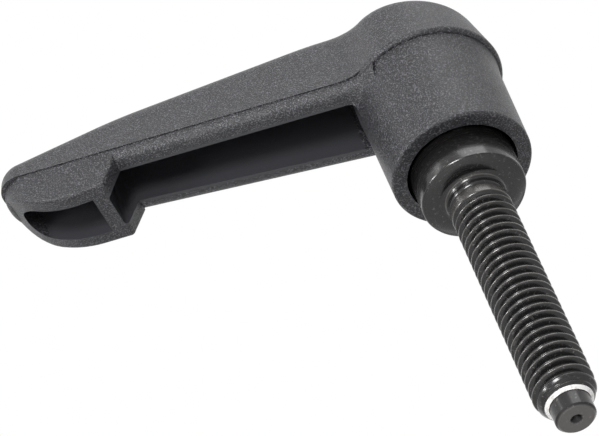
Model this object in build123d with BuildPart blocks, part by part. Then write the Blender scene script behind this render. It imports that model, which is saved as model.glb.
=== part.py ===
"""Adjustable clamping lever: a moulded handle indexed on a toothed steel stud.

The frame: +Z runs up the stud's axis, the arm reaches out along -X, and the
origin is the middle of the collar face that seats on the clamped part.
"""

import os
from math import cos, hypot, pi, radians, sin, tan

from build123d import *

# ------------------------------------------------------------ sizes, in mm
# Stud
THREAD_R = 3.0
STUD_LENGTH = 30.0          # collar face to the pin's pressing face
COLLAR_R = 5.2
COLLAR_PROUD = 4.0          # how far the collar stands out of the hub
COLLAR_CHAMFER = 0.15       # radial; the edge break is twice as high
NECK_R = 2.8                # thread run-out under the collar
NECK_LENGTH = 1.3
NECK_FILLET = 0.7
NOSE_LENGTH = 1.85          # rolled-in end of the stud
RIM_R = 2.3                 # where the rolled nose turns into its bare rim
RIM_HEIGHT = 0.25
GUIDE_LENGTH = 3.6          # plain length of the collar inside the hub
RELIEF_LENGTH = 0.8         # tool run-out below the teeth
CROWN_LENGTH = 3.6          # toothed length
CROWN_CHAMFER = 0.3

# Teeth that lock the handle to the stud
TOOTH_COUNT = 24
TOOTH_ROOT_R = 4.55
TOOTH_ROOT_WIDTH = 0.78
TOOTH_CREST_WIDTH = 0.40
FLANK_GAP = 0.09
CREST_GAP = 0.2
MESH_LENGTH = 2.8

# Thrust pin
PIN_R = 1.93
PIN_PROUD = 1.8             # below the stud's rim
PIN_CHAMFER = 0.25
SHOULDER_R = 2.06           # the pin's head, trapped behind the rolled rim
SHOULDER_LENGTH = 3.2
PIN_GAP = 0.045             # radial play
PIN_PLAY = 0.05             # end play
LIP_DEPTH = 0.7             # of the rolled rim
DIMPLE_R = 0.62
DIMPLE_DEPTH = 0.6

# Retaining screw
SCREW_R = 2.0
SCREW_THREAD_LENGTH = 6.0
SCREW_FIT = 0.02
TAP_SPARE = 0.8             # tapped hole below the screw's end
SLEEVE_R = 2.45             # plain shoulder that the handle slides on
HEAD_R = 3.4
HEAD_HEIGHT = 2.6
HEAD_SUNK = 0.7             # below the hub's top
HEAD_CHAMFER = 0.3
SOCKET_ACROSS = 3.0
SOCKET_DEPTH = 1.5

# Return spring
WIRE_R = 0.28
SPRING_TURNS = 3.0
SPRING_GAP = 0.2            # round the screw's sleeve

# Hub of the handle
BORE_GAP = 0.35             # between the collar and the hub's bore
FOOT_R = 7.03
FOOT_ROUND = 0.28
SHANK_R = 7.2               # where the hub's flare starts
SHANK_TOP = 13.0
CREASE_R = 7.45             # where the hub meets the cap
CAP_R = 7.88
CAP_HEIGHT = 16.25          # parting line round the hub
CAP_UNDER = 0.5             # height of the round under the cap's lip
HUB_TOP = 23.0              # height of the top over the stud's axis
LEDGE = 2.0                 # web between the teeth and the spring
CHAMBER_GAP = 0.2           # round the screw's head
MOUTH_R = 0.3               # of the chamber
SLEEVE_GAP = 0.2

# Arm of the handle
ARM_LENGTH = 44.0           # stud axis to the arm's end
ARM_ROOT = 5.0              # where the parting line starts to climb
ARM_SLOPE = 16.05           # of the parting line and the underside, degrees
ARM_ROOT_HALF = 5.45
ARM_END_HALF = 3.94
ARM_CORNER_R = 2.7
JUNCTION_R = 5.0            # hollow corner between the arm and the cap
LEAN = 12.0                 # inward lean of the walls above the parting line
TOP_ROUND = 2.5
# the handle's top in side view: distance out along the arm, height, radius
BACK_HEIGHT = 21.4          # at the hub's back
CROWN_BEND = (-2.0, 23.5, 14.0)
ARM_BEND = (CAP_R + 0.12, 26.9, 30.0)
END_BEND = (30.0, 30.07, 40.0)
END_HEIGHT = 30.1
LIP = 0.1                   # step at the parting line
BAND_HEIGHT = 1.38          # underside below the parting line
BAND_R = 1.25
WEB_START = -1.6            # where the band dies out on the hub, past the root
ROOT_FILLET = 1.2           # under the arm, round the hub

# Finger nose at the arm's end
STEP_TOP = 31.3
STEP_FOOT = 33.1
FOOT_DEPTH = 4.48           # below the parting line, as the bow's is
BOW_START = 36.2
BOW_DEPTH = 4.78
NOSE_CORNER_R = 3.8
NOSE_EDGE_R = 0.5
DRAFT = 0.5                 # of the nose's sides, degrees

# Hollows in the underside
HOLLOW_INSET = 2.05         # arm's outline to the hollow's wall
HOLLOW_CORNER_R = 0.6
HUB_WALL_R = 7.3            # the hub runs on up inside the hollow
ROOF = 2.0
RIB_START = 33.35
RIB = 1.5
POCKET_INSET = 1.8
POCKET_END = 1.5            # arm's end to the pocket's wall
POCKET_CORNER_R = 2.0

# ------------------------------------------- heights and fits worked out
crown_bottom = COLLAR_PROUD + GUIDE_LENGTH + RELIEF_LENGTH
crown_top = crown_bottom + CROWN_LENGTH
mesh_bottom = crown_top - MESH_LENGTH
ledge_top = crown_top + LEDGE
bore_r = COLLAR_R + BORE_GAP
chamber_r = HEAD_R + CHAMBER_GAP
head_top = HUB_TOP - HEAD_SUNK
head_bottom = head_top - HEAD_HEIGHT
pin_face = -STUD_LENGTH
stud_end = pin_face + PIN_PROUD
lip_top = stud_end + LIP_DEPTH
shoulder_bottom = lip_top + PIN_PLAY
shoulder_top = shoulder_bottom + SHOULDER_LENGTH
pin_bore_r = SHOULDER_R + PIN_GAP
spring_r = SLEEVE_R + SPRING_GAP + WIRE_R
crease_height = CAP_HEIGHT - CAP_UNDER
foot_height = COLLAR_PROUD
lean = radians(LEAN)
top_reach = ARM_LENGTH + 2 * CAP_R

slope = radians(ARM_SLOPE)
along_end = (ARM_LENGTH - ARM_ROOT) / cos(slope)
along_hub = -ARM_ROOT / cos(slope)
PARTING = Plane(
    origin=(-ARM_ROOT, 0, CAP_HEIGHT),
    x_dir=(-cos(slope), 0, sin(slope)),
    z_dir=(sin(slope), 0, cos(slope)),
)


def parting_height(reach):
    """Height of the arm's parting line, at a distance from the stud's axis."""
    return CAP_HEIGHT + tan(slope) * (reach - ARM_ROOT)


def leaned(reach):
    """How far the wall leans in between the cap's lip and the parting line."""
    return max(0, parting_height(reach) - CAP_HEIGHT) * tan(lean)


# ------------------------------------------------------------------ teeth
def space_width(radius):
    """Width between two teeth of the stud; the flanks are straight."""
    root = 2 * pi * TOOTH_ROOT_R / TOOTH_COUNT - TOOTH_ROOT_WIDTH
    crest = 2 * pi * COLLAR_R / TOOTH_COUNT - TOOTH_CREST_WIDTH
    share = (radius - TOOTH_ROOT_R) / (COLLAR_R - TOOTH_ROOT_R)
    return root + share * (crest - root)


def wedge(inner, outer, gap):
    """Outline of one space between teeth, narrowed by a gap on each flank."""
    near = space_width(inner) / 2 - gap
    far = space_width(outer) / 2 - gap
    return [(inner, -near), (outer, -far), (outer, far), (inner, near)]


# ---------------------------------------------------------- threaded stud
with BuildPart() as threaded_stud:
    with BuildSketch(Plane.XZ):
        with BuildLine():
            Polyline(
                (0, stud_end),
                (0, crown_top),
                (COLLAR_R - CROWN_CHAMFER, crown_top),
                (COLLAR_R, crown_top - CROWN_CHAMFER),
                (COLLAR_R, crown_bottom),
                (TOOTH_ROOT_R, crown_bottom),
                (TOOTH_ROOT_R, crown_bottom - RELIEF_LENGTH),
                (COLLAR_R, crown_bottom - RELIEF_LENGTH),
                (COLLAR_R, 2 * COLLAR_CHAMFER),
                (COLLAR_R - COLLAR_CHAMFER, 0),
                (NECK_R + NECK_FILLET, 0),
            )
            TangentArc(
                (NECK_R + NECK_FILLET, 0), (NECK_R, -NECK_FILLET), tangent=(-1, 0)
            )
            Polyline(
                (NECK_R, -NECK_FILLET),
                (NECK_R, -NECK_LENGTH),
                (THREAD_R, -NECK_LENGTH - (THREAD_R - NECK_R)),
                (THREAD_R, stud_end + NOSE_LENGTH),
            )
            TangentArc(
                (THREAD_R, stud_end + NOSE_LENGTH),
                (RIM_R, stud_end + RIM_HEIGHT),
                tangent=(0, -1),
            )
            Polyline(
                (RIM_R, stud_end + RIM_HEIGHT),
                (PIN_R + PIN_GAP, stud_end),
                (0, stud_end),
            )
        make_face()
    revolve(axis=Axis.Z)
    # the spaces between the teeth
    with BuildSketch(Plane.XY.offset(crown_bottom)):
        with PolarLocations(0, TOOTH_COUNT, start_angle=180 / TOOTH_COUNT):
            Polygon(*wedge(TOOTH_ROOT_R, COLLAR_R + CREST_GAP, 0), align=None)
    extrude(amount=CROWN_LENGTH, mode=Mode.SUBTRACT)
    # tapped hole for the retaining screw, with its drill point
    with BuildSketch(Plane.XZ):
        hole_r = SCREW_R + SCREW_FIT
        hole_end = crown_top - SCREW_THREAD_LENGTH - TAP_SPARE
        Polygon(
            (0, crown_top),
            (hole_r, crown_top),
            (hole_r, hole_end),
            (0, hole_end - hole_r * tan(radians(31))),
            align=None,
        )
    revolve(axis=Axis.Z, mode=Mode.SUBTRACT)
    # bore for the thrust pin, behind the rolled rim
    with BuildSketch(Plane.XZ):
        pin_bore_top = shoulder_top + PIN_PLAY
        Polygon(
            (0, stud_end),
            (PIN_R + PIN_GAP, stud_end),
            (PIN_R + PIN_GAP, lip_top),
            (pin_bore_r, lip_top),
            (pin_bore_r, pin_bore_top),
            (0, pin_bore_top),
            align=None,
        )
    revolve(axis=Axis.Z, mode=Mode.SUBTRACT)

# ------------------------------------------------------------- thrust pin
with BuildPart() as thrust_pin:
    with BuildSketch(Plane.XZ):
        Polygon(
            (0, pin_face + DIMPLE_DEPTH),
            (DIMPLE_R, pin_face),
            (PIN_R - PIN_CHAMFER, pin_face),
            (PIN_R, pin_face + PIN_CHAMFER),
            (PIN_R, shoulder_bottom),
            (SHOULDER_R, shoulder_bottom),
            (SHOULDER_R, shoulder_top),
            (0, shoulder_top),
            align=None,
        )
    revolve(axis=Axis.Z)

# -------------------------------------------------------- retaining screw
with BuildPart() as retaining_screw:
    with BuildSketch(Plane.XZ):
        Polygon(
            (0, crown_top - SCREW_THREAD_LENGTH),
            (SCREW_R - HEAD_CHAMFER, crown_top - SCREW_THREAD_LENGTH),
            (SCREW_R, crown_top - SCREW_THREAD_LENGTH + HEAD_CHAMFER),
            (SCREW_R, crown_top),
            (SLEEVE_R, crown_top),
            (SLEEVE_R, head_bottom),
            (HEAD_R, head_bottom),
            (HEAD_R, head_top - HEAD_CHAMFER),
            (HEAD_R - HEAD_CHAMFER, head_top),
            (0, head_top),
            align=None,
        )
    revolve(axis=Axis.Z)
    with BuildSketch(Plane.XY.offset(head_top)):
        RegularPolygon(SOCKET_ACROSS / 2, 6, major_radius=False)
    extrude(amount=-SOCKET_DEPTH, mode=Mode.SUBTRACT)

# ---------------------------------------------------------- return spring
with BuildPart() as return_spring:
    spring_length = head_bottom - ledge_top - 2 * WIRE_R
    with BuildLine(Plane.XY.offset(ledge_top + WIRE_R)) as coil:
        Helix(spring_length / SPRING_TURNS, spring_length, spring_r)
    with BuildSketch(Plane(origin=coil.line @ 0, z_dir=coil.line % 0)):
        Circle(WIRE_R)
    sweep(is_frenet=True)


# ----------------------------------------------------------------- handle
def arm_outline(inset, end_inset, corner_r):
    """The arm seen square to its parting line, rounded about the stud's axis."""
    taper = (ARM_ROOT_HALF - ARM_END_HALF) / along_end
    base = ARM_ROOT_HALF - inset - taper * along_hub
    tip = ARM_END_HALF - inset + taper * end_inset
    with BuildSketch() as outline:
        Polygon(
            (along_hub, -base),
            (along_end - end_inset, -tip),
            (along_end - end_inset, tip),
            (along_hub, base),
            align=None,
        )
        with Locations((along_hub, 0)):
            Circle(base)
        fillet(outline.vertices().sort_by(Axis.X)[-2:], corner_r)
    return outline.sketch


def under_the_top(drop):
    """Side view of what lies under the handle's top, lowered by a drop."""
    bends = (CROWN_BEND, ARM_BEND, END_BEND)
    with BuildSketch(Plane.XZ) as side:
        Polygon(
            (CAP_R + 1, foot_height),
            (CAP_R + 1, BACK_HEIGHT - drop),
            *[(-reach, height - drop) for reach, height, _ in bends],
            (-top_reach, END_HEIGHT - drop),
            (-top_reach, foot_height),
            align=None,
        )
        for reach, height, bend_r in bends:
            fillet(side.vertices().sort_by_distance((-reach, height - drop))[0], bend_r)
    return side.sketch


with BuildPart() as upper_handle:
    # seen from above at the lip's height: the cap, the arm and hollow corners
    flare = ARM_END_HALF + leaned(ARM_LENGTH) - ARM_ROOT_HALF
    spread = flare / (ARM_LENGTH - ARM_ROOT)
    root = ARM_ROOT_HALF - spread * ARM_ROOT
    end = ARM_LENGTH + leaned(ARM_LENGTH)
    end_half = ARM_ROOT_HALF + spread * (end - ARM_ROOT)
    with BuildSketch(Plane.XY.offset(CAP_HEIGHT)) as plan:
        Circle(CAP_R)
        Polygon((0, -root), (-end, -end_half), (-end, end_half), (0, root), align=None)
        fillet(plan.vertices().sort_by(Axis.X)[:2], ARM_CORNER_R + leaned(ARM_LENGTH))
        fillet(plan.vertices().sort_by(Axis.X)[-2:], JUNCTION_R)
    extrude(amount=HUB_TOP, taper=LEAN)
    extrude(under_the_top(0), amount=2 * CAP_R, both=True, mode=Mode.INTERSECT)
    with BuildSketch(Plane.XZ):
        Polygon(
            (-ARM_ROOT, CAP_HEIGHT),
            (-top_reach, CAP_HEIGHT),
            (-top_reach, parting_height(top_reach)),
            align=None,
        )
    extrude(amount=2 * CAP_R, both=True, mode=Mode.SUBTRACT)
    top_faces = upper_handle.faces().filter_by(lambda face: face.normal_at().Z > 0.6)
    rim = [
        edge
        for edge in upper_handle.edges()
        if sum(edge.is_same(other) for face in top_faces for other in face.edges()) == 1
    ]
    fillet(rim, TOP_ROUND)

with BuildPart() as lower_arm:
    # the arm's band runs on round the hollow corners and dies out on the hub
    with BuildSketch(PARTING) as band:
        add(arm_outline(LIP, LIP, NOSE_CORNER_R))
        with Locations((along_hub, 0)):
            Circle(CAP_R - LIP)
        meeting = band.vertices().filter_by(
            lambda vertex: abs(vertex.Y) > ARM_END_HALF and abs(vertex.X) < ARM_ROOT
        )
        fillet(meeting, JUNCTION_R)
        with Locations((WEB_START, 0)):
            Rectangle(
                3 * CAP_R, 3 * CAP_R, align=(Align.MAX, Align.CENTER), mode=Mode.SUBTRACT
            )
    extrude(amount=-BAND_HEIGHT * cos(slope))
    underside = lower_arm.faces().sort_by(Axis(PARTING.origin, PARTING.z_dir))[0]
    band_edges = underside.edges().filter_by(
        lambda edge: PARTING.to_local_coords(edge.center()).X > WEB_START + 0.01
    )
    fillet(band_edges, BAND_R)

with BuildPart() as nose:
    step_foot = parting_height(STEP_FOOT) - FOOT_DEPTH
    bow_foot = parting_height(BOW_START) - BOW_DEPTH
    add(PARTING * arm_outline(LIP, LIP, NOSE_CORNER_R))
    extrude(amount=-2 * FOOT_DEPTH, taper=DRAFT)
    with BuildSketch(Plane.XZ):
        with BuildLine():
            Polyline(
                (-STEP_TOP, parting_height(STEP_TOP) + BAND_HEIGHT),
                (-STEP_TOP, parting_height(STEP_TOP) - BAND_HEIGHT),
                (-STEP_FOOT, step_foot),
                (-BOW_START, bow_foot),
            )
            TangentArc(
                (-BOW_START, bow_foot),
                (-ARM_LENGTH + LIP, parting_height(ARM_LENGTH)),
                tangent=(STEP_FOOT - BOW_START, bow_foot - step_foot),
            )
            Polyline(
                (-ARM_LENGTH + LIP, parting_height(ARM_LENGTH)),
                (-ARM_LENGTH + LIP, parting_height(ARM_LENGTH) + BAND_HEIGHT),
                (-STEP_TOP, parting_height(STEP_TOP) + BAND_HEIGHT),
            )
        make_face()
    extrude(amount=2 * CAP_R, both=True, mode=Mode.INTERSECT)
    low_edges = nose.edges().filter_by(
        lambda edge: PARTING.to_local_coords(edge.center()).Z < -BAND_HEIGHT
    )
    fillet(low_edges, NOSE_EDGE_R)

with BuildPart() as hub:
    with BuildSketch(Plane.XZ):
        with BuildLine():
            Line((0, foot_height), (FOOT_R - FOOT_ROUND, foot_height))
            TangentArc(
                (FOOT_R - FOOT_ROUND, foot_height),
                (FOOT_R, foot_height + FOOT_ROUND),
                tangent=(1, 0),
            )
            Line((FOOT_R, foot_height + FOOT_ROUND), (SHANK_R, SHANK_TOP))
            TangentArc(
                (SHANK_R, SHANK_TOP),
                (CREASE_R, crease_height),
                tangent=(SHANK_R - FOOT_R, SHANK_TOP - foot_height),
            )
            TangentArc(
                (CREASE_R, crease_height), (CAP_R, CAP_HEIGHT), tangent=(1, 0)
            )
            Polyline((CAP_R, CAP_HEIGHT), (0, CAP_HEIGHT), (0, foot_height))
        make_face()
    revolve(axis=Axis.Z)

with BuildPart() as lower_handle:
    add(hub.part)
    add(lower_arm.part)
    add(nose.part)

    # soften the corner where the arm's band runs into the hub
    root_seam = lower_handle.edges().filter_by(
        lambda edge: edge.geom_type == GeomType.BSPLINE
        and edge.center().Z < crease_height
        and edge.length > BAND_R
        and BAND_R < abs(edge.center().Y) < ARM_ROOT_HALF
        and hypot(edge.center().X, edge.center().Y) < CAP_R
    )
    fillet(root_seam, ROOT_FILLET)


def hollow(inset, end_inset, corner_r, start, end):
    """A hollow that opens downwards between two distances from the axis."""
    with BuildPart() as space:
        add(PARTING * arm_outline(inset, end_inset, corner_r))
        extrude(amount=CAP_HEIGHT / 2, both=True)
        extrude(under_the_top(ROOF), amount=2 * CAP_R, both=True, mode=Mode.INTERSECT)
        with BuildSketch(Plane.XZ):
            Polygon(
                (-start, foot_height),
                (-end, foot_height),
                (-end, HUB_TOP + CAP_R),
                (-start, HUB_TOP + CAP_R),
                align=None,
            )
        extrude(amount=2 * CAP_R, both=True, mode=Mode.INTERSECT)
        with BuildSketch():
            Circle(HUB_WALL_R)
        extrude(amount=HUB_TOP, mode=Mode.SUBTRACT)
    return space.part


with BuildPart() as arm_hollow:
    add(hollow(HOLLOW_INSET, HOLLOW_INSET, HOLLOW_CORNER_R, HUB_WALL_R / 2, RIB_START))
    corners = arm_hollow.edges().filter_by(
        lambda edge: abs((edge % 0.5).Z) > 0.9 and edge.length > BAND_HEIGHT
    )
    fillet(corners, HOLLOW_CORNER_R)

with BuildPart() as tip_pocket:
    add(hollow(POCKET_INSET, POCKET_END, POCKET_CORNER_R, RIB_START + RIB, ARM_LENGTH))

with BuildPart() as handle:
    add(upper_handle.part)
    add(lower_handle.part)
    add(arm_hollow.part, mode=Mode.SUBTRACT)
    add(tip_pocket.part, mode=Mode.SUBTRACT)
    # bore round the collar, with the teeth standing on its wall
    with BuildSketch(Plane.XY.offset(foot_height)):
        Circle(bore_r)
    extrude(amount=crown_top - foot_height, mode=Mode.SUBTRACT)
    with BuildSketch(Plane.XY.offset(mesh_bottom)):
        with PolarLocations(0, TOOTH_COUNT, start_angle=180 / TOOTH_COUNT):
            Polygon(
                *wedge(TOOTH_ROOT_R + CREST_GAP, bore_r + CREST_GAP, FLANK_GAP),
                align=None,
            )
    extrude(amount=MESH_LENGTH)
    # way through for the screw's sleeve, and the chamber above it
    with BuildSketch(Plane.XY.offset(crown_top)):
        Circle(SLEEVE_R + SLEEVE_GAP)
    extrude(amount=LEDGE, mode=Mode.SUBTRACT)
    with BuildSketch(Plane.XY.offset(ledge_top)):
        Circle(chamber_r)
    extrude(amount=HUB_TOP, mode=Mode.SUBTRACT)
    mouth = handle.edges().filter_by(
        lambda edge: edge.center().Z > head_top
        and all(
            abs(hypot(point.X, point.Y) - chamber_r) < 0.01
            for point in (edge @ 0, edge @ 0.5, edge @ 1)
        )
        and abs((edge % 0.5).Z) < 0.9
    )
    fillet(mouth, MOUTH_R)

os.makedirs("parts", exist_ok=True)
for body, label in (
    (handle, "handle"),
    (threaded_stud, "threaded_stud"),
    (thrust_pin, "thrust_pin"),
    (return_spring, "return_spring"),
    (retaining_screw, "retaining_screw"),
):
    body.part.label = label
    export_step(body.part, f"parts/{label}.step")
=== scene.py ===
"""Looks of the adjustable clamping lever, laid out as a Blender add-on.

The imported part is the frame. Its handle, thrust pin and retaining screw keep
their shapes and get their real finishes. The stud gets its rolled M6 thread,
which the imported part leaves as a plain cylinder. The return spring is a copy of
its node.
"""

from math import cos, radians, sin, tau

import bmesh
import bpy
from bpy.props import FloatProperty, FloatVectorProperty, IntProperty, PointerProperty
from mathutils import Matrix, Vector


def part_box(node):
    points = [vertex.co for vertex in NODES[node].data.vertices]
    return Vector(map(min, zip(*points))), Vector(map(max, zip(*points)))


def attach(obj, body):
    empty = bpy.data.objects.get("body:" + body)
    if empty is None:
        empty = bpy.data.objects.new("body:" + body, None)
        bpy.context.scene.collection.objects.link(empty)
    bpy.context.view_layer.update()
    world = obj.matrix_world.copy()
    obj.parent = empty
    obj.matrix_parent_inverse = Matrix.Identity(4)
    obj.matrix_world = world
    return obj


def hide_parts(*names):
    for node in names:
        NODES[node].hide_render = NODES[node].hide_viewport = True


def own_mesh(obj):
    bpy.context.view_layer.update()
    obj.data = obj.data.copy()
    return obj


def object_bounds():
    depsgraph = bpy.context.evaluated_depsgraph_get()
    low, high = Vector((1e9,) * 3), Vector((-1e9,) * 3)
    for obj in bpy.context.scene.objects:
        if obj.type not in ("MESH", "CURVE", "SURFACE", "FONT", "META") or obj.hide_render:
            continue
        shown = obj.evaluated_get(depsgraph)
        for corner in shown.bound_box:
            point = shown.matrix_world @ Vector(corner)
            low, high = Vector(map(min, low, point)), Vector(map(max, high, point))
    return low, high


bl_info = {
    "name": "Adjustable clamping lever",
    "version": (1, 0, 0),
    "blender": (4, 5, 0),
    "location": "3D View > Sidebar > Lever",
    "description": "Rolled thread, moulded and black oxide finishes, and a studio",
    "category": "Object",
}

MM = 0.001

# Hollows under the arm, which lie in shade: there the painted glints of the skin are mostly left
# out
HOLLOW_TAPER = 0.0387           # how far the walls close in, per mm along the arm
HOLLOW_HALF = 3.86 * MM         # half width of the pocket, carried back to the axis
HOLLOW_HUB = -8.2 * MM          # along the arm, where the hollows start
HOLLOW_END = -41.0 * MM         # and where they end
RIB_PLACE = -34.1 * MM          # of the rib between the two hollows
RIB_HALF = 0.75 * MM
SHADED_FLECK_SHARE = 0.2                # share of the fleck and painted glint colour kept in the shaded hollows

# Stud and pin
CREST_RADIUS = 3.0 * MM
MARK_RADIUS = 0.5 * MM          # of the mark in the pin's face
MARK_TURNS = (20, 140, 260)     # which way its three flats face, in degrees
RIM_HEIGHT = 0.25 * MM          # bare rim of the stud, above its lower end
SEAM_HEIGHT = 0.4 * MM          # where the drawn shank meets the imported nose
SHANK_TOP = -1.0 * MM           # inside the collar's neck
OVERLAP = 0.05 * MM             # of the shank and the nose
WELD = 0.0005 * MM              # points closer than this are one point
SHARP = radians(30)             # edges that bend more than this stay sharp

# Studio
FLOOR_HALF = 1.5                # metres
FLOOR_DROP = 220 * MM           # below the part
FLOOR_LIFT = 0.3                # glow of the floor to the eye and to gloss
STAGE_MIDDLE = Vector((-12 * MM, 0, 0))

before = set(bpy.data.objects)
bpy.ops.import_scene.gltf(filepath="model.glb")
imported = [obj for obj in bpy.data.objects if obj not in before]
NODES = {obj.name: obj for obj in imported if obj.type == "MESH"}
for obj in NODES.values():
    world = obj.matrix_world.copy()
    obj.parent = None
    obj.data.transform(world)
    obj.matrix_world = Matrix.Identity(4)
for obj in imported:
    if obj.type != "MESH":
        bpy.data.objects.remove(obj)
cad_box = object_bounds()


def linear(code):
    """Turns an sRGB hex value into the linear colour that a shader reads."""
    shares = [int(code[i : i + 2], 16) / 255 for i in (1, 3, 5)]
    flat = [s / 12.92 if s <= 0.04045 else ((s + 0.055) / 1.055) ** 2.4 for s in shares]
    return (*flat, 1.0)


def put(tree, kind, values=None, **settings):
    """Adds a node with its settings, and fills its inputs with values or links."""
    node = tree.nodes.new(kind)
    for name, value in settings.items():
        setattr(node, name, value)
    for name, value in (values or {}).items():
        if isinstance(value, bpy.types.NodeSocket):
            tree.links.new(value, node.inputs[name])
        else:
            node.inputs[name].default_value = value
    return node


# ------------------------------------------------------------------ settings
def length(name, text, size, **more):
    """A length that is given in millimetres and kept in metres."""
    return FloatProperty(
        name=name, description=text, default=size * MM, unit="LENGTH", precision=5, **more
    )


def colour(name, text, code):
    """A colour that is given as an sRGB hex value and kept linear."""
    return FloatVectorProperty(
        name=name, description=text, default=linear(code), size=4, subtype="COLOR",
        min=0.0, max=1.0,
    )


class LeverThreadSettings(bpy.types.PropertyGroup):
    """Sizes of the stud's rolled thread."""

    pitch: length("Pitch", "Distance from one crest to the next", 1.0)
    major_radius: length("Major radius", "Radius over the crests", 3.0)
    root_radius: length("Root radius", "Radius at the bottom of the groove", 2.42)
    neck_radius: length("Neck radius", "Run-out groove under the collar", 2.79)
    neck_end: length("Neck end", "Height at which the neck turns into a chamfer", -1.3)
    run_in: length("Run-in", "Height at which the groove starts", -2.35)
    full_depth: length("Full depth", "Height from which the groove is full", -3.05)
    crest: length("Crest", "Height of the first crest at the front", -3.23)
    nose_start: length("Nose start", "Height at which the rolled nose starts", -26.35)
    nose_radius: length("Nose radius", "Side radius of the rolled nose", 2.179)
    run_out: length("Run-out", "Height at which the groove has died out", -28.4)
    segments: IntProperty(
        name="Segments", description="Faces round the stud", default=96, min=24, max=160
    )


class LeverFinishSettings(bpy.types.PropertyGroup):
    """Colours of the finishes."""

    polyamide: colour("Polyamide", "Moulded handle", "#151518")
    # pale flecks in the colour: partly the skin's grain, partly painted glints of highlight
    fleck_and_glint: colour("Fleck", "Pale grains of the moulded skin", "#66666C")
    oxide: colour("Black oxide", "Stud and screw", "#232222")
    # paler steel where the oxide is worn, also used for painted crest highlights and painted light
    # on the pin's end
    worn_oxide_and_light: colour("Worn oxide", "Oxide rubbed thin on edges", "#706D6B")
    pin_oxide: colour("Pin oxide", "Satin thrust pin", "#1C1A1A")
    bare_steel: colour("Bare steel", "Cut rim of the stud", "#F4F3F1")
    spring_steel: colour("Spring wire", "Drawn wire of the spring", "#B8BABD")


class LeverStageSettings(bpy.types.PropertyGroup):
    """Light and floor of the studio."""

    key: FloatProperty(name="Key", description="Power of the front light", default=0.7)
    top: FloatProperty(name="Top", description="Power of the top light", default=1.45)
    side: FloatProperty(
        name="Side", description="Power of the low side light; the high one has a quarter",
        default=0.8,
    )
    ambient: FloatProperty(
        name="Ambient", description="Strength of the light from all round", default=0.4
    )
    floor: colour("Floor", "Plain pale floor", "#EFEFEF")


# ----------------------------------------------------------------- materials
def start(name):
    """A new material with its tree, its Principled shader and its coordinates."""
    material = bpy.data.materials.new(name)
    material.use_nodes = True
    tree = material.node_tree
    shader = tree.nodes["Principled BSDF"]
    place = put(tree, "ShaderNodeTexCoord").outputs["Object"]
    return material, tree, shader, place


def lathe_lines(tree, place, spacing):
    """Fine rings that a turning tool leaves: they change with radius and height."""
    split = put(tree, "ShaderNodeSeparateXYZ", {"Vector": place})
    flat = put(tree, "ShaderNodeVectorMath", {0: place, 1: (1, 1, 0)}, operation="MULTIPLY")
    radius = put(
        tree, "ShaderNodeVectorMath", {0: flat.outputs["Vector"]}, operation="LENGTH"
    )
    rings = put(
        tree,
        "ShaderNodeCombineXYZ",
        {"X": radius.outputs["Value"], "Z": split.outputs["Z"]},
    )
    return put(
        tree,
        "ShaderNodeTexNoise",
        {"Vector": rings.outputs["Vector"], "Scale": 1 / spacing, "Detail": 3.0,
         "Roughness": 0.6},
    ).outputs["Fac"]


def outside_the_hollow(tree, place):
    """0 on the walls of the arm's two hollows, 1 on the rest of the handle."""
    at = put(tree, "ShaderNodeSeparateXYZ", {"Vector": place}).outputs
    facing = put(
        tree,
        "ShaderNodeSeparateXYZ",
        {"Vector": put(tree, "ShaderNodeTexCoord").outputs["Normal"]},
    ).outputs

    def math(kind, *values):
        return put(
            tree, "ShaderNodeMath", dict(enumerate(values)), operation=kind
        ).outputs[0]

    # the walls close in towards the arm's end, so the middle distance does too
    aside = math(
        "ADD", math("ABSOLUTE", at["Y"]), math("MULTIPLY", at["X"], -HOLLOW_TAPER)
    )
    off_rib = math("ABSOLUTE", math("SUBTRACT", at["X"], RIB_PLACE))
    share = 0.0
    for value, none, full in (
        (aside, HOLLOW_HALF, HOLLOW_HALF + 0.1 * MM),
        (at["X"], HOLLOW_HUB, HOLLOW_HUB + 0.3 * MM),
        (at["X"], HOLLOW_END, HOLLOW_END - 0.3 * MM),
        (off_rib, RIB_HALF, RIB_HALF - 0.1 * MM),
        (facing["Z"], 0.1, 0.2),
    ):
        share = math("MAXIMUM", share, put(
            tree, "ShaderNodeMapRange", {"Value": value, "From Min": none, "From Max": full}
        ).outputs["Result"])
    return share


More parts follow.
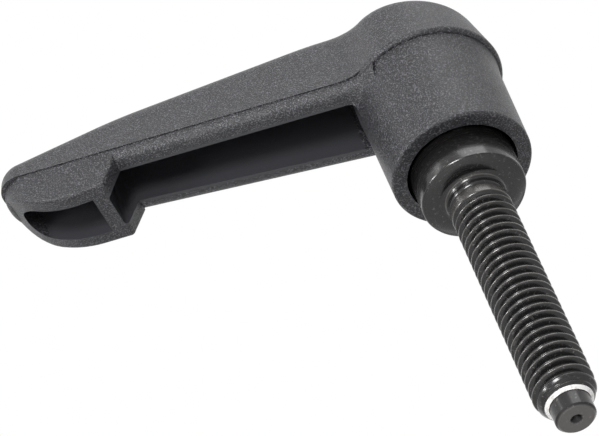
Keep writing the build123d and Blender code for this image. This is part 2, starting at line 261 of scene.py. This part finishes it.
def moulded_polyamide(colours):
    """Glass filled polyamide from a spark eroded mould.

    The mould's fine grain is drawn as a bump, and pale flecks are painted into the
    colour: partly the skin's grain, partly painted glints where the grain breaks up
    highlights. The skin stays matt, so broad light shows as a soft grey sheen.
    """
    material, tree, shader, place = start("moulded_polyamide")
    # the grain is drawn at 0.14 mm, likely coarser than the mould's, so that it shows
    grain = put(
        tree,
        "ShaderNodeTexNoise",
        {"Vector": place, "Scale": 1 / (0.14 * MM), "Detail": 1.5, "Roughness": 0.6},
    ).outputs["Fac"]
    # a slower cloud, as the glass fibres lie a little differently from place to place
    cloud = put(
        tree,
        "ShaderNodeTexNoise",
        {"Vector": place, "Scale": 1 / (2.6 * MM), "Detail": 3.0, "Roughness": 0.55},
    ).outputs["Fac"]
    # pale flecks in the colour: partly the skin's grain, partly painted glints of highlight
    grain_and_glint_flecks = put(
        tree,
        "ShaderNodeMapRange",
        {"Value": grain, "From Min": 0.5, "From Max": 0.68, "To Min": 0.0, "To Max": 0.8},
    ).outputs["Result"]
    # the arm's hollows lie in shade, so their walls keep only a little of the painted glint flecks
    # that would break up the dark
    outside_shaded_hollows = outside_the_hollow(tree, place)
    grain_and_glint_flecks = put(
        tree,
        "ShaderNodeMapRange",
        {"Value": outside_shaded_hollows, "To Min": SHADED_FLECK_SHARE, "To Max": grain_and_glint_flecks},
    ).outputs["Result"]
    tint = put(
        tree,
        "ShaderNodeMix",
        {"Factor": grain_and_glint_flecks, "A": colours.polyamide, "B": colours.fleck_and_glint},
        data_type="RGBA",
    )
    tree.links.new(tint.outputs[2], shader.inputs["Base Color"])
    gloss = put(
        tree,
        "ShaderNodeMapRange",
        {"Value": cloud, "From Min": 0.3, "From Max": 0.7, "To Min": 0.36, "To Max": 0.42},
    ).outputs["Result"]
    tree.links.new(gloss, shader.inputs["Roughness"])
    bump = put(
        tree,
        "ShaderNodeBump",
        {"Height": grain, "Distance": 0.1 * MM,
         "Strength": put(
             tree, "ShaderNodeMapRange", {"Value": outside_shaded_hollows, "To Min": 0.25, "To Max": 0.9}
         ).outputs["Result"]},
    ).outputs["Normal"]
    tree.links.new(bump, shader.inputs["Normal"])
    shader.inputs["IOR"].default_value = 1.53
    shader.inputs["Specular IOR Level"].default_value = 0.42
    return material


def black_oxide_steel(name, base, pale_wear_and_light, roughness, spacing, depth):
    """Turned steel with a black oxide film.

    The film is magnetite, half metal and half stone: nearly black, with narrow
    satin streaks across the turning lines. Rolled crests are painted paler: partly
    oxide rubbed thin, partly a painted highlight along them. A few nicks show paler
    worn steel.
    """
    material, tree, shader, place = start(name)
    lines = lathe_lines(tree, place, spacing)
    speck = put(
        tree,
        "ShaderNodeTexNoise",
        {"Vector": place, "Scale": 1 / (0.35 * MM), "Detail": 3.0, "Roughness": 0.65},
    ).outputs["Fac"]
    nicks = put(
        tree,
        "ShaderNodeMapRange",
        {"Value": speck, "From Min": 0.6, "From Max": 0.72, "To Min": 0.0, "To Max": 0.7},
    ).outputs["Result"]
    flat = put(tree, "ShaderNodeVectorMath", {0: place, 1: (1, 1, 0)}, operation="MULTIPLY")
    radius = put(
        tree, "ShaderNodeVectorMath", {0: flat.outputs["Vector"]}, operation="LENGTH"
    ).outputs["Value"]
    # crests painted paler: partly oxide rubbed thin, partly a painted highlight along the crests
    crest_wear_and_highlight = put(
        tree,
        "ShaderNodeMapRange",
        {"Value": radius, "From Min": CREST_RADIUS - 0.07 * MM, "From Max": CREST_RADIUS,
         "To Min": 0.0, "To Max": 0.8},
    ).outputs["Result"]
    inside = put(
        tree, "ShaderNodeMath", {0: radius, 1: CREST_RADIUS + 0.05 * MM},
        operation="LESS_THAN",
    ).outputs[0]
    # the crests are rubbed more in some places than in others
    uneven = put(
        tree,
        "ShaderNodeMath",
        {0: inside, 1: put(
            tree,
            "ShaderNodeTexNoise",
            {"Vector": place, "Scale": 1 / (1.6 * MM), "Detail": 3.0, "Roughness": 0.7},
        ).outputs["Fac"]},
        operation="MULTIPLY",
    ).outputs[0]
    crests = put(
        tree, "ShaderNodeMath", {0: crest_wear_and_highlight, 1: uneven}, operation="MULTIPLY"
    ).outputs[0]
    rubbed = put(
        tree, "ShaderNodeMath", {0: nicks, 1: crests}, operation="MAXIMUM"
    ).outputs[0]
    tint = put(
        tree,
        "ShaderNodeMix",
        {"Factor": rubbed, "A": base, "B": pale_wear_and_light},
        data_type="RGBA",
    )
    tree.links.new(tint.outputs[2], shader.inputs["Base Color"])
    gloss = put(
        tree,
        "ShaderNodeMapRange",
        {"Value": lines, "From Min": 0.3, "From Max": 0.7,
         "To Min": roughness - 0.06, "To Max": roughness + 0.06},
    ).outputs["Result"]
    tree.links.new(gloss, shader.inputs["Roughness"])
    bump = put(
        tree, "ShaderNodeBump", {"Height": lines, "Strength": 0.5, "Distance": depth}
    ).outputs["Normal"]
    tree.links.new(bump, shader.inputs["Normal"])
    shader.inputs["Metallic"].default_value = 0.6
    # a thin film of oil over the oxide
    shader.inputs["Coat Weight"].default_value = 0.5
    shader.inputs["Coat Roughness"].default_value = 0.16
    shader.inputs["Coat IOR"].default_value = 1.47
    return material


def bright_steel(name, base, roughness, spacing, metallic=1.0):
    """Bare steel, cut or drawn: pale, with fine lines that soften its shine."""
    material, tree, shader, place = start(name)
    lines = lathe_lines(tree, place, spacing)
    gloss = put(
        tree,
        "ShaderNodeMapRange",
        {"Value": lines, "From Min": 0.3, "From Max": 0.7,
         "To Min": roughness - 0.05, "To Max": roughness + 0.05},
    ).outputs["Result"]
    tree.links.new(gloss, shader.inputs["Roughness"])
    bump = put(
        tree, "ShaderNodeBump", {"Height": lines, "Strength": 0.2, "Distance": 0.01 * MM}
    ).outputs["Normal"]
    tree.links.new(bump, shader.inputs["Normal"])
    # thin smears, where oil or the tool left the cut a little darker
    smears = put(
        tree,
        "ShaderNodeTexNoise",
        {"Vector": place, "Scale": 1 / (0.7 * MM), "Detail": 4.0, "Roughness": 0.7},
    ).outputs["Fac"]
    darker = put(
        tree,
        "ShaderNodeMapRange",
        {"Value": smears, "From Min": 0.5, "From Max": 0.72, "To Min": 0.0, "To Max": 0.75},
    ).outputs["Result"]
    tint = put(
        tree,
        "ShaderNodeMix",
        {"Factor": darker, "A": base, "B": linear("#77746F")},
        data_type="RGBA",
    )
    tree.links.new(tint.outputs[2], shader.inputs["Base Color"])
    shader.inputs["Metallic"].default_value = metallic
    return material


def wear_and_light_on_thrust_face(material, pale_wear_and_light):
    """Rubs the pin's end pale, and shapes its centre mark with three flats.

    The end is painted paler: partly oxide worn thin by what it clamps, partly painted
    light on a face that looks down. The mark is drawn as the dent of a three sided
    punch: three flats that meet at the axis.
    """
    tree = material.node_tree
    shader = tree.nodes["Principled BSDF"]
    place = next(n for n in tree.nodes if n.type == "TEX_COORD").outputs["Object"]
    split = put(tree, "ShaderNodeSeparateXYZ", {"Vector": place}).outputs
    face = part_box("thrust_pin")[0].z
    # the end face is painted paler: partly oxide worn by clamping, partly painted light that the
    # downward face lacks
    low = put(
        tree,
        "ShaderNodeMapRange",
        {"Value": split["Z"], "From Min": face + 0.12 * MM, "From Max": face,
         "To Min": 0.0, "To Max": 0.55},
    ).outputs["Result"]
    under = shader.inputs["Base Color"].links[0].from_socket
    tint = put(
        tree, "ShaderNodeMix", {"Factor": low, "A": under, "B": pale_wear_and_light}, data_type="RGBA"
    )
    tree.links.new(tint.outputs[2], shader.inputs["Base Color"])
    # the highest of three tilted planes, cut off at the mark's edge
    flats = None
    for turn in MARK_TURNS:
        along = put(
            tree,
            "ShaderNodeVectorMath",
            {0: place, 1: (cos(radians(turn)), sin(radians(turn)), 0)},
            operation="DOT_PRODUCT",
        ).outputs["Value"]
        flats = along if flats is None else put(
            tree, "ShaderNodeMath", {0: flats, 1: along}, operation="MAXIMUM"
        ).outputs[0]
    depth = put(
        tree,
        "ShaderNodeMapRange",
        {"Value": flats, "From Min": 0.0, "From Max": MARK_RADIUS,
         "To Max": 0.4 * MARK_RADIUS},
    ).outputs["Result"]
    bump = put(
        tree,
        "ShaderNodeBump",
        {"Height": depth, "Strength": 1.0, "Distance": 1.0,
         "Normal": shader.inputs["Normal"].links[0].from_socket},
    ).outputs["Normal"]
    tree.links.new(bump, shader.inputs["Normal"])


def finish_node(name, material):
    """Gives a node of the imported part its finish."""
    node = NODES[name]
    if not node.data.materials:
        node.data.materials.append(material)
    for place in node.material_slots:
        place.material = material


# ---------------------------------------------------------------- the thread
PROFILE_STEPS = 16          # rows from one crest to the next
CREST_SHARE = 2 / 16        # of the pitch that is flat crest
FLANK_SHARE = 5 / 16        # of the pitch that each flank takes


def thread_tree():
    """Geometry Nodes that roll a thread: a grid wound round the stud's axis.

    Rows follow the helix, so crest and root stay crisp. The radius is the
    groove's or the blank's outline, whichever is less, and both ends close.
    """
    tree = bpy.data.node_groups.new("rolled_thread", "GeometryNodeTree")
    face = tree.interface
    face.new_socket("Geometry", in_out="OUTPUT", socket_type="NodeSocketGeometry")
    for name in ("Pitch", "Major Radius", "Root Radius", "Neck Radius", "Neck End",
                 "Run-in", "Full Depth", "Crest", "Nose Start", "Nose Radius",
                 "Run-out", "Top", "Bottom"):
        face.new_socket(name, in_out="INPUT", socket_type="NodeSocketFloat")
    face.new_socket("Segments", in_out="INPUT", socket_type="NodeSocketInt")
    face.new_socket("Finish", in_out="INPUT", socket_type="NodeSocketMaterial")
    given = tree.nodes.new("NodeGroupInput").outputs

    def math(operation, first, second=0.0, third=0.0):
        values = {0: first, 1: second, 2: third}
        return put(tree, "ShaderNodeMath", values, operation=operation).outputs[0]

    # rows: the length in turns, and a turn more because the rows are helical
    span = math("DIVIDE", math("SUBTRACT", given["Top"], given["Bottom"]), given["Pitch"])
    rows = math("CEIL", math("MULTIPLY", math("ADD", span, 1.5), PROFILE_STEPS))
    turns = math("DIVIDE", rows, PROFILE_STEPS)
    grid = put(
        tree,
        "GeometryNodeMeshGrid",
        {"Size X": 1.0, "Size Y": 1.0,
         "Vertices X": math("ADD", given["Segments"], 1.0),
         "Vertices Y": math("ADD", rows, 1.0)},
    ).outputs["Mesh"]
    spot = put(
        tree, "ShaderNodeSeparateXYZ", {0: put(tree, "GeometryNodeInputPosition").outputs[0]}
    ).outputs
    around = math("ADD", spot["X"], 0.5)
    wound = math("MULTIPLY", math("ADD", spot["Y"], 0.5), turns)
    angle = math("MULTIPLY", around, tau)

    # the crest meets its height at the front, which is the -Y side
    front = math("ADD", given["Crest"], math("MULTIPLY", given["Pitch"], CREST_SHARE / 2))
    lead = math("DIVIDE", math("SUBTRACT", given["Top"], front), given["Pitch"])
    shift = math("MULTIPLY", math("FRACT", math("ADD", lead, 0.75)), given["Pitch"])
    begin = math("ADD", math("SUBTRACT", given["Top"], shift), given["Pitch"])
    helix = math("SUBTRACT", wound, around)
    raw = math("SUBTRACT", begin, math("MULTIPLY", helix, given["Pitch"]))
    height = math("MAXIMUM", math("MINIMUM", raw, given["Top"]), given["Bottom"])

    # the groove: down one flank, along the root and up the other
    phase = math("FRACT", math("ADD", wound, 1e-5))
    down = put(
        tree,
        "ShaderNodeMapRange",
        {"Value": phase, "From Min": CREST_SHARE, "From Max": CREST_SHARE + FLANK_SHARE},
    ).outputs["Result"]
    up = put(
        tree,
        "ShaderNodeMapRange",
        {"Value": phase, "From Min": 1.0, "From Max": 1 - FLANK_SHARE},
    ).outputs["Result"]
    run_in = put(
        tree,
        "ShaderNodeMapRange",
        {"Value": height, "From Min": given["Run-in"], "From Max": given["Full Depth"]},
        interpolation_type="SMOOTHSTEP",
    ).outputs["Result"]
    run_out = put(
        tree,
        "ShaderNodeMapRange",
        {"Value": height, "From Min": given["Run-out"],
         "From Max": math("ADD", given["Run-out"], given["Pitch"])},
        interpolation_type="SMOOTHSTEP",
    ).outputs["Result"]
    share = math("MULTIPLY", math("MULTIPLY", down, up), math("MULTIPLY", run_in, run_out))
    depth = math("SUBTRACT", given["Major Radius"], given["Root Radius"])
    groove = math("SUBTRACT", given["Major Radius"], math("MULTIPLY", share, depth))

    # the blank: neck, chamfer, plain shank and rounded nose
    fall = math("MAXIMUM", math("SUBTRACT", given["Neck End"], height), 0.0)
    neck = math("ADD", given["Neck Radius"], fall)
    past = math("MAXIMUM", math("SUBTRACT", given["Nose Start"], height), 0.0)
    left = math("SUBTRACT", math("POWER", given["Nose Radius"], 2.0), math("POWER", past, 2.0))
    arc = math("SQRT", math("MAXIMUM", left, 0.0))
    nose = math("ADD", math("SUBTRACT", given["Major Radius"], given["Nose Radius"]), arc)
    blank = math("MINIMUM", neck, nose)

    # past either end the rows draw in to the axis and close the shell
    over = math("MAXIMUM", math("SUBTRACT", raw, given["Top"]), 0.0)
    under = math("MAXIMUM", math("SUBTRACT", given["Bottom"], raw), 0.0)
    beyond = math("DIVIDE", math("ADD", over, under), math("DIVIDE", given["Pitch"], PROFILE_STEPS))
    close = math("SUBTRACT", 1.0, math("MINIMUM", beyond, 1.0))
    radius = math("MULTIPLY", math("MINIMUM", groove, blank), close)

    wrapped = put(
        tree,
        "ShaderNodeCombineXYZ",
        {"X": math("MULTIPLY", radius, math("COSINE", angle)),
         "Y": math("MULTIPLY", radius, math("SINE", angle)),
         "Z": height},
    ).outputs["Vector"]
    placed = put(tree, "GeometryNodeSetPosition", {"Geometry": grid, "Position": wrapped})
    merged = put(
        tree,
        "GeometryNodeMergeByDistance",
        {"Geometry": placed.outputs[0], "Distance": WELD},
    )
    soft = put(tree, "GeometryNodeSetShadeSmooth", {0: merged.outputs[0]})
    real = put(tree, "GeometryNodeRealizeInstances", {0: soft.outputs[0]})
    finished = put(
        tree,
        "GeometryNodeSetMaterial",
        {"Geometry": real.outputs[0], "Material": given["Finish"]},
    )
    put(tree, "NodeGroupOutput", {"Geometry": finished.outputs[0]})
    return tree


def rolled_shank(sizes, top, bottom, finish):
    """The threaded shank as a plain mesh, between two heights."""
    carrier = bpy.data.objects.new("shank", bpy.data.meshes.new("shank"))
    bpy.context.scene.collection.objects.link(carrier)
    modifier = carrier.modifiers.new("rolled_thread", "NODES")
    tree = thread_tree()
    wanted = {
        "Pitch": sizes.pitch, "Major Radius": sizes.major_radius,
        "Root Radius": sizes.root_radius, "Neck Radius": sizes.neck_radius,
        "Neck End": sizes.neck_end, "Run-in": sizes.run_in,
        "Full Depth": sizes.full_depth, "Crest": sizes.crest,
        "Nose Start": sizes.nose_start, "Nose Radius": sizes.nose_radius,
        "Run-out": sizes.run_out, "Top": top, "Bottom": bottom,
        "Segments": sizes.segments, "Finish": finish,
    }
    modifier.node_group = tree
    for item in tree.interface.items_tree:
        if item.in_out == "INPUT":
            modifier[item.identifier] = wanted[item.name]
    ready = carrier.evaluated_get(bpy.context.evaluated_depsgraph_get())
    mesh = bpy.data.meshes.new_from_object(ready)
    bpy.data.objects.remove(carrier)
    return mesh


def cut_copy(node, low, high, name):
    """A closed copy of what a node has between two heights."""
    shape = bmesh.new()
    shape.from_mesh(NODES[node].data)
    bmesh.ops.remove_doubles(shape, verts=shape.verts, dist=WELD)
    for height, normal in ((low, -1), (high, 1)):
        parts = shape.verts[:] + shape.edges[:] + shape.faces[:]
        bmesh.ops.bisect_plane(
            shape, geom=parts, plane_co=(0, 0, height), plane_no=(0, 0, normal),
            clear_outer=True, dist=0.0002 * MM,
        )
        rim = [edge for edge in shape.edges if edge.is_boundary]
        if rim:
            bmesh.ops.triangle_fill(shape, edges=rim, use_beauty=True)
    bmesh.ops.recalc_face_normals(shape, faces=shape.faces)
    mesh = bpy.data.meshes.new(name)
    shape.to_mesh(mesh)
    shape.free()
    mesh.shade_smooth()
    mesh.set_sharp_from_angle(angle=SHARP)
    return mesh


class LEVER_OT_stud(bpy.types.Operator):
    """Builds the stud: its collar and crown, its rolled thread and its bare rim"""

    bl_idname = "lever.stud"
    bl_label = "Threaded stud"

    def execute(self, context):
        sizes = context.scene.lever_thread
        colours = context.scene.lever_finish
        oxide = black_oxide_steel(
            "black_oxide_turned_steel", colours.oxide, colours.worn_oxide_and_light,
            0.27, 0.16 * MM, 0.02 * MM,
        )
        bare = bright_steel("bare_cut_steel", colours.bare_steel, 0.35, 0.08 * MM, 0.3)
        lowest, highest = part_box("threaded_stud")
        rim = lowest.z + RIM_HEIGHT
        # the shank reaches a little way inside the collar's neck and the nose
        seam = lowest.z + SEAM_HEIGHT
        shank = rolled_shank(sizes, SHANK_TOP, seam - OVERLAP, oxide)
        collar = cut_copy("threaded_stud", sizes.neck_end, highest.z + MM, "collar")
        nose = cut_copy("threaded_stud", lowest.z - MM, seam, "nose")
        whole = bmesh.new()
        for mesh in (collar, nose, shank):
            whole.from_mesh(mesh)
        mesh = bpy.data.meshes.new("stud_with_thread")
        whole.to_mesh(mesh)
        whole.free()
        mesh.materials.append(oxide)
        mesh.materials.append(bare)
        for patch in mesh.polygons:
            low_end = all(mesh.vertices[i].co.z < rim + 0.01 * MM for i in patch.vertices)
            patch.material_index = 1 if low_end else 0
        stud = bpy.data.objects.new("stud_with_thread", mesh)
        context.scene.collection.objects.link(stud)
        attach(stud, "stud")
        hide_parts("threaded_stud")
        return {"FINISHED"}


class LEVER_OT_handle(bpy.types.Operator):
    """Gives the handle its moulded skin"""

    bl_idname = "lever.handle"
    bl_label = "Moulded handle"

    def execute(self, context):
        finish_node("handle", moulded_polyamide(context.scene.lever_finish))
        return {"FINISHED"}


class LEVER_OT_fittings(bpy.types.Operator):
    """Gives the thrust pin and the retaining screw their steels"""

    bl_idname = "lever.fittings"
    bl_label = "Steel fittings"

    def execute(self, context):
        colours = context.scene.lever_finish
        satin = black_oxide_steel(
            "black_oxide_satin_steel", colours.pin_oxide, colours.worn_oxide_and_light,
            0.42, 0.12 * MM, 0.015 * MM,
        )
        wear_and_light_on_thrust_face(satin, colours.worn_oxide_and_light)
        finish_node("thrust_pin", satin)
        finish_node(
            "retaining_screw",
            black_oxide_steel(
                "black_oxide_screw_steel", colours.oxide, colours.worn_oxide_and_light,
                0.33, 0.14 * MM, 0.015 * MM,
            ),
        )
        return {"FINISHED"}


class LEVER_OT_spring(bpy.types.Operator):
    """Makes the return spring, a copy of its node"""

    bl_idname = "lever.spring"
    bl_label = "Return spring"

    def execute(self, context):
        mesh = NODES["return_spring"].data.copy()
        mesh.materials.clear()
        mesh.materials.append(
            bright_steel(
                "drawn_spring_wire", context.scene.lever_finish.spring_steel,
                0.28, 0.1 * MM,
            )
        )
        spring = bpy.data.objects.new("return_spring_coil", mesh)
        spring.matrix_world = NODES["return_spring"].matrix_world
        context.scene.collection.objects.link(spring)
        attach(spring, "spring")
        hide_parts("return_spring")
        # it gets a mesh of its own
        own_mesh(spring)
        return {"FINISHED"}


def seen_share(tree, path, other, seen):
    """One value for what the eye, gloss and glass see, and another for all other light."""
    either = put(
        tree,
        "ShaderNodeMath",
        {0: path["Is Camera Ray"], 1: path["Is Glossy Ray"]},
        operation="MAXIMUM",
    ).outputs[0]
    either = put(
        tree,
        "ShaderNodeMath",
        {0: either, 1: path["Is Transmission Ray"]},
        operation="MAXIMUM",
    ).outputs[0]
    return put(
        tree, "ShaderNodeMapRange", {"Value": either, "To Min": other, "To Max": seen}
    ).outputs["Result"]


def soft_light(name, direction, distance, size, power):
    """A soft rectangular light that faces the middle of the part."""
    lamp = bpy.data.lights.new(name, "AREA")
    lamp.shape = "RECTANGLE"
    lamp.size, lamp.size_y = size
    lamp.energy = power
    holder = bpy.data.objects.new(name, lamp)
    away = Vector(direction).normalized()
    holder.location = STAGE_MIDDLE + away * distance
    holder.rotation_euler = away.to_track_quat("Z", "Y").to_euler()
    bpy.context.scene.collection.objects.link(holder)


class LEVER_OT_stage(bpy.types.Operator):
    """Adds the pale floor, the soft studio light and the camera"""

    bl_idname = "lever.stage"
    bl_label = "Studio"

    def execute(self, context):
        scene = context.scene
        settings = scene.lever_stage
        scene.view_settings.view_transform = "Standard"

        # the floor shows from above only, and lets light from below through
        floor_mesh = bpy.data.meshes.new("floor")
        half, level = FLOOR_HALF, cad_box[0][2] - FLOOR_DROP
        floor_mesh.from_pydata(
            [(-half, -half, level), (half, -half, level), (half, half, level),
             (-half, half, level)], [], [(0, 1, 2, 3)],
        )
        floor = bpy.data.objects.new("floor", floor_mesh)
        scene.collection.objects.link(floor)
        paint = bpy.data.materials.new("matt_floor")
        paint.use_nodes = True
        tree = paint.node_tree
        tree.nodes.clear()
        path = put(tree, "ShaderNodeLightPath").outputs
        matt = put(tree, "ShaderNodeBsdfDiffuse", {"Color": settings.floor})
        # a lift towards white for the eye and for gloss, not for the light it sheds
        lift = put(
            tree,
            "ShaderNodeEmission",
            {"Color": settings.floor, "Strength": seen_share(tree, path, 0.0, FLOOR_LIFT)},
        )
        pale = put(tree, "ShaderNodeAddShader", {0: matt.outputs[0], 1: lift.outputs[0]})
        clear = put(tree, "ShaderNodeBsdfTransparent")
        side = put(tree, "ShaderNodeNewGeometry").outputs["Backfacing"]
        open_side = put(
            tree, "ShaderNodeMath", {0: side, 1: path["Is Shadow Ray"]}, operation="MAXIMUM"
        )
        mixed = put(
            tree,
            "ShaderNodeMixShader",
            {"Fac": open_side.outputs[0], 1: pale.outputs[0], 2: clear.outputs[0]},
        )
        put(tree, "ShaderNodeOutputMaterial", {"Surface": mixed.outputs[0]})
        floor_mesh.materials.append(paint)

        # white to the eye and in gloss, softer as light
        world = bpy.data.worlds.new("studio")
        scene.world = world
        world.use_nodes = True
        tree = world.node_tree
        tree.nodes.clear()
        path = put(tree, "ShaderNodeLightPath").outputs
        sky = put(
            tree,
            "ShaderNodeBackground",
            {"Color": linear("#FFFFFF"),
             "Strength": seen_share(tree, path, settings.ambient, 1.0)},
        )
        put(tree, "ShaderNodeOutputWorld", {"Surface": sky.outputs[0]})

        soft_light("key_light", (-0.08, -0.95, -0.25), 0.3, (0.085, 0.085), settings.key)
        soft_light("top_light", (0.45, -0.54, 0.71), 0.6, (0.4, 0.4), settings.top)
        soft_light("side_light", (-0.55, -0.48, 0.68), 0.6, (0.12, 0.3), settings.side / 4)
        soft_light("low_side_light", (-0.8, -0.58, -0.1), 0.4, (0.06, 0.14), settings.side)

        # long lens, from below and in front of the lever
        lens = bpy.data.cameras.new("camera")
        lens.sensor_width = 36.0
        lens.lens = 178.31
        lens.clip_start = 0.01
        lens.clip_end = 10.0
        camera = bpy.data.objects.new("camera", lens)
        right = Vector((0.89834, 0.35712, -0.25585))
        upward = Vector((0.43254, -0.61721, 0.65724))
        back = Vector((0.07680, -0.70109, -0.70893))
        turn = Matrix((right, upward, back)).transposed().to_4x4()
        spot = Vector((5.7746, -202.2561, -196.8398)) * MM
        camera.matrix_world = Matrix.Translation(spot) @ turn
        scene.collection.objects.link(camera)
        scene.camera = camera
        return {"FINISHED"}


class LEVER_PT_parts(bpy.types.Panel):
    """Lists what the lever is made of"""

    bl_label = "Clamping lever"
    bl_space_type = "VIEW_3D"
    bl_region_type = "UI"
    bl_category = "Lever"

    def draw(self, context):
        for kind in (
            LEVER_OT_stud, LEVER_OT_handle, LEVER_OT_fittings, LEVER_OT_spring,
            LEVER_OT_stage,
        ):
            self.layout.operator(kind.bl_idname)
        for group in (
            context.scene.lever_thread, context.scene.lever_finish, context.scene.lever_stage
        ):
            box = self.layout.box()
            for name in group.bl_rna.properties.keys():
                if name not in ("name", "rna_type"):
                    box.prop(group, name)


CLASSES = (
    LeverThreadSettings, LeverFinishSettings, LeverStageSettings,
    LEVER_OT_stud, LEVER_OT_handle, LEVER_OT_fittings, LEVER_OT_spring, LEVER_OT_stage,
    LEVER_PT_parts,
)


def register():
    for kind in CLASSES:
        bpy.utils.register_class(kind)
    bpy.types.Scene.lever_thread = PointerProperty(type=LeverThreadSettings)
    bpy.types.Scene.lever_finish = PointerProperty(type=LeverFinishSettings)
    bpy.types.Scene.lever_stage = PointerProperty(type=LeverStageSettings)


def unregister():
    del bpy.types.Scene.lever_stage
    del bpy.types.Scene.lever_finish
    del bpy.types.Scene.lever_thread
    for kind in reversed(CLASSES):
        bpy.utils.unregister_class(kind)


def main():
    """Builds the whole scene."""
    register()
    bpy.ops.lever.stud()
    bpy.ops.lever.handle()
    bpy.ops.lever.fittings()
    bpy.ops.lever.spring()
    bpy.ops.lever.stage()


if __name__ == "__main__":
    main()
